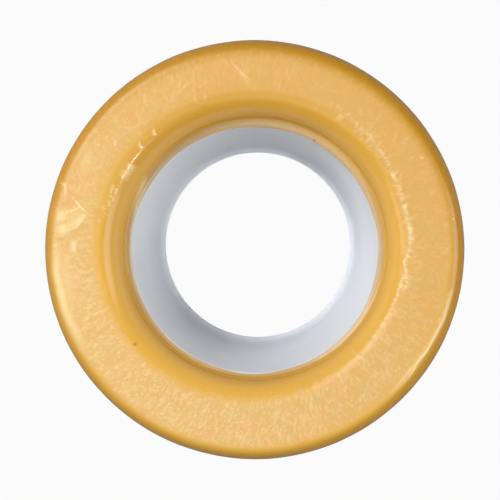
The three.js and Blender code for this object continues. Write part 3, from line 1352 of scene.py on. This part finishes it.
@dataclass
class WaxRing:
    """The moulded wax: its turned body, its uneven fringe and the film print on its crown."""

    sizes: SealSizes
    finish: MouldedWax
    turn_steps: int = 780
    crown_steps: int = 30
    slope_steps: int = 24
    shoulder_steps: int = 18
    wall_steps: int = 5
    fringe_steps: int = 6
    round_steps: int = 4
    hidden_steps: int = 3
    level_slack: float = 0.1 * MM  # how far below the ledge a vertex still counts as on it

    # Folds and strokes
    print_radius: float = 51.4 * MM
    frost_reach: float = 0.9 * MM
    relief_floor: float = 0.4 * MM
    crease_reach: float = 3  # widths from its line past which a stroke doesn't show
    lift_limit: float = 0.4 * MM
    # How pale the crinkle ridges are painted, partly as painted highlight of light caught on them
    crinkle_pale_and_highlight: float = 0.42
    # Painted sheen: the frosted crown is painted paler towards one side, for a lamp's broad sheen
    # on it
    painted_sheen_share: float = 0.18
    painted_sheen_azimuth: float = math.radians(225)

    # Mouth and fringe
    mouth_offset: Point = (0.13 * MM, 0.5 * MM)
    fringe_radius: float = 41.4 * MM
    fringe_offset: Point = (-0.07 * MM, -0.27 * MM)
    fringe_waver: float = 0.12 * MM
    fringe_waves: tuple[int, int] = (7, 11)
    fringe_sines: Point = (0.1, 0.96)
    fringe_slack: float = 1.2

    # Thicker cast on one side of the mouth, with a ramp on the ledge
    thick_azimuth: float = math.radians(255)
    ledge_lift: float = 2.0 * MM
    ramp_power: float = 1.6
    ramp_reach: float = 6 * MM

    # Sunken stretch of the crown's inner edge
    dip_height: float = 1.0 * MM
    dip_width: float = 5.0 * MM
    dip_azimuth: float = math.radians(100)
    dip_power: float = 1.5
    dip_margin: float = 1.5 * MM
    dip_depth: float = 1.0 * MM

    # Tones: how the white plastic shows through, less on its shaded side (painted shade), and a
    # deeper
    # tone: painted shade in the mouth's corner and on one side of the slope, partly deeper amber
    # down the wall
    thick_side: float = 0.45
    # Painted shade: how much less the plastic shows through on the thin edge's shaded side
    film_shade_share: float = 0.4
    film_shade_azimuth: float = math.radians(75)
    film_edges: Point = (0.4 * MM, -0.5 * MM)
    corner_edges: Point = (1.2 * MM, -0.4 * MM)
    ledge_edges: Point = (-0.3 * MM, -0.7 * MM)
    corner_shade: float = 0.5
    ledge_darkening: float = 0.4
    slope_shade: float = 0.5
    slope_top: float = 3 * MM
    slope_fade: float = 2 * MM
    tone_start: float = 0.4 * MM
    tone_reach: float = 3.0 * MM
    specks: tuple[tuple[float, float, float], ...] = (
        (218.2, 49.8, 0.42 * MM),
        (61.5, 41.6, 0.35 * MM),
    )

    def section(self) -> list[Point]:
        """The closed section, counter-clockwise from the foot, with the sleeve's slot.

        Returns:
            The section's points.
        """
        s = self.sizes
        foot = s.foot_radius, s.wax_floor + s.foot_round
        wall_top = s.wall_radius, s.wax_top - s.shoulder_drop
        crown_outer, crown_inner = (s.crown_outer, s.wax_top), (s.crown_inner, s.wax_top)
        ledge_start = s.ledge_radius, s.ledge_height
        mouth_foot = s.mouth_radius, s.ledge_height + s.mouth_fillet
        slot_top = s.brim_radius + s.seat, s.brim_top + s.seat
        slot_floor = s.brim_radius + s.seat, s.brim_floor - s.seat
        slot_corner, slot_fillet = s.corner_round + s.seat, s.under_fillet - s.seat
        over = arc(s.upper_centre, slot_corner, s.fringe_turn, 0, self.fringe_steps)
        under = arc(s.under_centre, slot_fillet, 0, s.corner_turn, self.round_steps)
        horn_side = s.beside_taper(s.wax_floor, s.sleeve_wall + s.seat)
        underside = s.foot_radius - s.foot_round, s.wax_floor
        return [
            *quarter(underside, foot, True, self.round_steps),
            *between(foot, wall_top, self.wall_steps),
            *quarter(wall_top, crown_outer, False, self.shoulder_steps),
            *between(crown_outer, crown_inner, self.crown_steps),
            *quarter(crown_inner, mouth_foot, True, self.slope_steps),
            *quarter(mouth_foot, ledge_start, False, self.round_steps)[1:],
            *self._fringe_face(),
            *over,
            *between(over[-1], slot_top, self.hidden_steps),
            slot_top,
            slot_floor,
            *between(slot_floor, under[0], self.hidden_steps),
            *under,
            *between(under[-1], horn_side, self.hidden_steps),
            horn_side,
            *between(horn_side, underside, self.hidden_steps),
        ]

    def _fringe_face(self) -> list[Point]:
        """The free face of the thin edge over the corner, from its ledge to its tip.

        Returns:
            The face's points.
        """
        s = self.sizes
        points = []
        for share in np.linspace(0, 1, self.fringe_steps + 1):
            thickness = s.fringe_root + (s.fringe_tip - s.fringe_root) * share
            reach = s.corner_round + s.seat + thickness
            points += arc(s.upper_centre, reach, 0, s.fringe_turn * share, 1)[1:]
        return points

    def build(self) -> bpy.types.Object:
        """Builds and dresses the wax, in place of its CAD node.

        Returns:
            The wax ring.
        """
        crown_print = CrownPrint(self.print_radius, self.sizes.crown_outer + self.frost_reach)
        turned = TurnedPiece(
            "moulded_wax_ring",
            self.section(),
            self.turn_steps,
            KeyRow.of(self.sizes, KeyUse.PLUGS),
            self.finish.material(),
            crown_print,
        )
        piece = turned.build()
        self._shape(piece.data)
        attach(piece, BODY)
        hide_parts("wax_ring")
        return piece

    def _shape(self, mesh: bpy.types.Mesh) -> None:
        """Moves the mesh's vertices for what doesn't follow the turned section.

        Args:
            mesh: The turned wax, whose attributes are filled in too.
        """
        count = len(mesh.vertices)
        places, normals = np.empty(count * 3), np.empty(count * 3)
        mesh.vertices.foreach_get("co", places)
        mesh.vertices.foreach_get("normal", normals)
        places, normals = places.reshape(-1, 3), normals.reshape(-1, 3)
        pale_and_highlight, frost = np.empty(count), np.empty(count)
        mesh.attributes[Zone.BLOOM.value].data.foreach_get("value", pale_and_highlight)
        mesh.attributes[Zone.FROST.value].data.foreach_get("value", frost)
        lift, pale = self._creases(places, normals)
        pale = np.maximum(pale_and_highlight * self.crinkle_pale_and_highlight, pale)
        zones = {
            Zone.FILM: self._film(places),
            Zone.DEEP_AMBER_AND_SHADE: self._deep_amber_and_shade(places),
            Zone.SPECK: self._speck(places),
        }
        self._fray_fringe(places)
        self._shift_mouth(places)
        self._ramp_ledge(places)
        self._dip_edge(places)
        places += normals * lift[:, None]
        mesh.vertices.foreach_set("co", places.ravel())
        # Painted sheen: the frosted crown is made paler towards one side, for a lamp's broad sheen
        # on it.
        painted_sheen = self.painted_sheen_share * frost * one_sided(polar(places)[1], self.painted_sheen_azimuth)
        pale = 1 - (1 - pale) * (1 - painted_sheen)
        mesh.attributes[Zone.BLOOM.value].data.foreach_set("value", pale)
        for zone, values in zones.items():
            attribute = mesh.attributes.new(zone.value, "FLOAT", "POINT")
            attribute.data.foreach_set("value", values)
        mesh.update()

    def _creases(self, places: np.ndarray, normals: np.ndarray) -> tuple[np.ndarray, np.ndarray]:
        """Height and paleness that the folds and strokes give each vertex.

        Args:
            places: The vertices' places.
            normals: Their normals.

        Returns:
            How far each vertex moves out, and how pale it is.
        """
        above = places[:, 2] > self.sizes.brim_top + self.relief_floor
        upper = np.flatnonzero((normals[:, 2] > FACES_UP) & above)
        level = places[upper, :2]
        lift, pale = np.zeros(len(places)), np.zeros(len(places))
        creases = [*LEFT_FOLDS_AND_SHEEN, *SHORT_STROKES]
        for group in (*INNER_RIDGE_AND_GLINT, *OUTER_SHEEN, *TENSION_LINES, *SCATTER):
            creases += group.creases()
        for crease in creases:
            middle = crease.line().mean(axis=0)
            reach = np.ptp(crease.line(), axis=0).max() + self.crease_reach * crease.width
            near = np.flatnonzero(np.abs(level - middle).max(axis=1) < reach)
            strength = crease.strength(level[near])
            rows = upper[near]
            lift[rows] += crease.height * strength
            pale[rows] = np.maximum(pale[rows], crease.pale_and_highlight * strength)
        return self.lift_limit * np.tanh(lift / self.lift_limit), pale

    def _film(self, places: np.ndarray) -> np.ndarray:
        """How much the white plastic shows through.

        Args:
            places: The vertices' places.

        Returns:
            1 on the thin edge at its thinnest, and 0 up the slope.
        """
        s = self.sizes
        radius, azimuth = polar(places)
        over = places[:, 2] > s.upper_centre[1]
        share = 1 - self.thick_side * one_sided(azimuth, self.thick_azimuth)
        # Painted shade: the thin edge is made less pale on the side where it lies in shade.
        share -= self.film_shade_share * facing(azimuth, self.film_shade_azimuth)
        outer, inner = self.film_edges
        return share * over * smooth_step(radius, s.ledge_radius + outer, s.ledge_radius + inner)

    def _deep_amber_and_shade(self, places: np.ndarray) -> np.ndarray:
        """How much deeper tone the wax gets: painted shade, and partly deeper amber down the wall.

        Args:
            places: The vertices' places.

        Returns:
            Up to 1 in the corner at the slope's foot, on the sunken slope and down the wall.
        """
        s = self.sizes
        radius, azimuth = polar(places)
        thickness = one_sided(azimuth, self.thick_azimuth)
        # Painted shade in the concave corner at the slope's foot, darker still on the ledge of the
        # thick side.
        outer, inner = self.corner_edges
        corner = smooth_step(radius, s.mouth_radius + outer, s.mouth_radius + inner)
        corner *= places[:, 2] > s.brim_top
        outer, inner = self.ledge_edges
        ledge = smooth_step(radius, s.mouth_radius + outer, s.mouth_radius + inner)
        corner *= self.corner_shade + self.ledge_darkening * ledge * thickness
        # Down the wall: deeper amber, and painted shade where the band starts further in on the
        # side away from the thick side.
        wall_start = s.crown_outer + self.tone_start - self.tone_reach * (1 - thickness)
        wall = smooth_step(radius - wall_start, 0, s.shoulder_width)
        # Painted shade on the slope's upper part, on the side of the sunken stretch.
        slope = facing(azimuth, self.dip_azimuth) * self.slope_shade
        slope *= smooth_step(radius, s.mouth_radius, s.crown_inner - self.slope_top)
        slope *= smooth_step(radius, s.crown_inner + self.slope_fade, s.crown_inner)
        return np.maximum(np.maximum(corner, slope), wall)

    def _speck(self, places: np.ndarray) -> np.ndarray:
        """Where the few specks of dirt are that stick to the wax.

        Args:
            places: The vertices' places.

        Returns:
            1 in the middle of a speck.
        """
        upper = places[:, 2] > self.sizes.brim_top
        speck = np.zeros(len(places))
        for azimuth, radius, size in self.specks:
            spot = np.array(direction(math.radians(azimuth)).xy) * radius * MM
            away = np.linalg.norm(places[:, :2] - spot, axis=1)
            speck = np.maximum(speck, upper * np.exp(-((away / size) ** 2)))
        return speck

    def _shift_mouth(self, places: np.ndarray) -> None:
        """Moves the foot of the slope sideways, and the slope less and less up to the crown.

        Args:
            places: The vertices' places, which are changed.
        """
        s = self.sizes
        radius = polar(places)[0]
        share = (places[:, 2] > s.ledge_height - self.level_slack) * 1.0
        share *= smooth_step(radius, s.crown_inner, s.mouth_radius)
        share *= smooth_step(radius, s.upper_centre[0], s.ledge_radius)
        places[:, :2] += share[:, None] * np.array(self.mouth_offset)

    def _ramp_ledge(self, places: np.ndarray) -> None:
        """Raises the ledge's outer part into a ramp, where the wax is cast thicker.

        Args:
            places: The vertices' places, which are changed.
        """
        s = self.sizes
        radius, azimuth = polar(places)
        height = places[:, 2]
        start = s.upper_centre[0]
        share = (height > s.ledge_height - self.level_slack) * 1.0
        share *= one_sided(azimuth, self.thick_azimuth) ** 2
        share *= np.clip((radius - start) / (s.mouth_radius - start), 0, 1) ** self.ramp_power
        low, high = s.ledge_height + s.mouth_fillet, s.ledge_height + self.ramp_reach
        places[:, 2] += self.ledge_lift * share * smooth_step(height, high, low)

    def _dip_edge(self, places: np.ndarray) -> None:
        """Lowers the crown's inner edge on one side, where the wax has sunk a little.

        Args:
            places: The vertices' places, which are changed.
        """
        s = self.sizes
        radius, azimuth = polar(places)
        outer, inner = s.crown_inner + self.dip_width, s.crown_inner - self.dip_margin
        low, high = s.brim_top + self.dip_margin, s.wax_top - self.dip_depth
        share = facing(azimuth, self.dip_azimuth) ** self.dip_power
        share *= smooth_step(radius, outer, inner) * smooth_step(places[:, 2], low, high)
        places[:, 2] -= self.dip_height * share

    def _fray_fringe(self, places: np.ndarray) -> None:
        """Draws the thin edge out on one side and in on the other, and makes it waver.

        Args:
            places: The vertices' places, which are changed.
        """
        s = self.sizes
        centre_radius, centre_height = s.upper_centre
        slot_corner = s.corner_round + s.seat
        radius, azimuth = polar(places)
        inward, rise = centre_radius - radius, places[:, 2] - centre_height
        from_centre, angle = np.hypot(inward, rise), np.arctan2(inward, rise)
        over = (from_centre > s.corner_round) & (from_centre < slot_corner + 2 * s.fringe_root)
        over &= (angle > 0) & (angle < s.fringe_turn * self.fringe_slack)
        tip = self.fringe_radius + self.fringe_offset[0] * np.cos(azimuth)
        tip = tip + self.fringe_offset[1] * np.sin(azimuth)
        slow, quick = self.fringe_waves
        tip = tip + self.fringe_waver * (np.sin(slow * azimuth) + np.sin(quick * azimuth + 1)) / 2
        turn = np.arcsin(np.clip((centre_radius - tip) / slot_corner, *self.fringe_sines))
        angle = (angle * turn / s.fringe_turn)[over]
        azimuth, from_centre = azimuth[over], from_centre[over]
        radius = centre_radius - from_centre * np.sin(angle)
        height = centre_height + from_centre * np.cos(angle)
        places[over] = np.stack([radius * np.cos(azimuth), radius * np.sin(azimuth), height], 1)


@dataclass(frozen=True)
class Softbox:
    """A square lamp that faces the seal, with its azimuth and elevation in degrees."""

    name: str
    azimuth: float
    elevation: float
    distance: float
    size: float
    power: float

    def build(self, target: Vector) -> None:
        """Hangs the lamp.

        Args:
            target: What the lamp faces.
        """
        elevation = math.radians(self.elevation)
        toward = direction(math.radians(self.azimuth)) * math.cos(elevation)
        toward.z = math.sin(elevation)
        light = bpy.data.lights.new(self.name, "AREA")
        light.size = self.size
        light.energy = self.power
        lamp = bpy.data.objects.new(self.name, light)
        lamp.location = target + toward * self.distance
        lamp.rotation_euler = (-toward).to_track_quat("-Z", "Y").to_euler()
        bpy.context.scene.collection.objects.link(lamp)


@dataclass
class Studio:
    """The pale floor, the soft lamps, the surroundings and the camera."""

    sizes: SealSizes
    floor_size: float = 3.0
    floor_gap: float = 0.2 * MM
    floor_colour: str = "#9C9C9C"
    floor_glow: float = 0.95
    ambient: str = "#F2F4FA"
    ambient_strength: float = 0.02
    white: str = "#FFFFFF"
    camera_place: tuple[float, float, float] = (0.018, 0.0277, 0.7275)
    camera_aim: tuple[float, float, float] = (-0.0015, 0.0, 0.045)
    view_angle: float = math.radians(13.88)
    nearest_seen: float = 10 * MM
    lamps: tuple[Softbox, ...] = (
        Softbox("upper_left_softbox", 145, 44, 1.0, 0.6, 8.5),
        Softbox("left_softbox", 190, 32, 1.0, 0.5, 2.2),
        Softbox("low_right_softbox", -5, 28, 1.0, 0.7, 5.6),
        Softbox("near_softbox", 240, 74, 0.45, 0.3, 0.35),
        Softbox("small_lamp", -38, 47, 1.0, 0.06, 1.6),
    )

    def build(self) -> None:
        """Sets the whole stage."""
        target = Vector((0, 0, self.sizes.brim_top))
        for lamp in self.lamps:
            lamp.build(target)
        self._surroundings()
        self._floor()
        self._camera()
        bpy.context.scene.view_settings.view_transform = "Standard"

    def _surroundings(self) -> None:
        """An even pale light from all round, seen as white by the camera."""
        world = bpy.data.worlds.new("pale_surroundings")
        bpy.context.scene.world = world
        tree = empty_tree(world)
        path = add_node(tree, "ShaderNodeLightPath")
        light, seen = (
            add_node(tree, "ShaderNodeBackground", {"Color": linear(tone), "Strength": strength})
            for tone, strength in ((self.ambient, self.ambient_strength), (self.white, 1.0))
        )
        ends = {0: path.outputs["Is Camera Ray"], 1: light, 2: seen}
        mixed = add_node(tree, "ShaderNodeMixShader", ends)
        add_node(tree, "ShaderNodeOutputWorld", {"Surface": mixed})

    def _floor(self) -> None:
        """A level pale floor just under the horn's end, brightened for the camera."""
        half, height = self.floor_size / 2, -self.floor_gap
        level = (-half, -half), (half, -half), (half, half), (-half, half)
        mesh = bpy.data.meshes.new("floor")
        mesh.from_pydata([(x, y, height) for x, y in level], [], [(0, 1, 2, 3)])
        floor = bpy.data.objects.new("floor", mesh)
        bpy.context.scene.collection.objects.link(floor)
        mesh.materials.append(self._floor_material())

    def _floor_material(self) -> bpy.types.Material:
        """Pale painted board that keeps part of the seal's shadow.

        Returns:
            The material.
        """
        material = bpy.data.materials.new("pale_painted_board")
        tree = empty_tree(material)
        seen = add_node(tree, "ShaderNodeLightPath").outputs["Is Camera Ray"]
        share = add_node(tree, MATH, {0: seen, 1: self.floor_glow}, operation="MULTIPLY")
        paint = add_node(tree, "ShaderNodeBsdfDiffuse", {"Color": linear(self.floor_colour)})
        ends = {"Color": linear(self.white), "Strength": 1.0}
        glow = add_node(tree, "ShaderNodeEmission", ends)
        mixed = add_node(tree, "ShaderNodeMixShader", {0: share, 1: paint, 2: glow})
        add_node(tree, "ShaderNodeOutputMaterial", {"Surface": mixed})
        return material

    def _camera(self) -> None:
        """Looks down on the seal from a little to its upper right, with +Y up in the frame."""
        place, aim = Vector(self.camera_place), Vector(self.camera_aim)
        forward = (aim - place).normalized()
        right = forward.cross(Vector((0, 1, 0))).normalized()
        up = right.cross(forward)
        camera_data = bpy.data.cameras.new("camera")
        camera_data.sensor_fit = "HORIZONTAL"
        camera_data.angle = self.view_angle
        camera_data.clip_start = self.nearest_seen
        camera = bpy.data.objects.new("camera", camera_data)
        turn = Matrix((right, up, -forward)).transposed().to_4x4()
        camera.matrix_world = Matrix.Translation(place) @ turn
        bpy.context.scene.collection.objects.link(camera)
        bpy.context.scene.camera = camera


def report_piece(piece: bpy.types.Object) -> None:
    """Logs a piece's name and its number of triangles."""
    piece.data.calc_loop_triangles()
    LOG.info("%s: %d triangles", piece.name, len(piece.data.loop_triangles))


def main() -> None:
    """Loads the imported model, dresses it and sets the stage."""
    logging.basicConfig(level=logging.INFO, format="%(message)s")
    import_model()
    sizes = SealSizes.from_frame()
    report_piece(HornSleeve(sizes, MouldedPolyethylene()).build())
    report_piece(WaxRing(sizes, MouldedWax()).build())
    Studio(sizes).build()


if __name__ == "__main__":
    main()
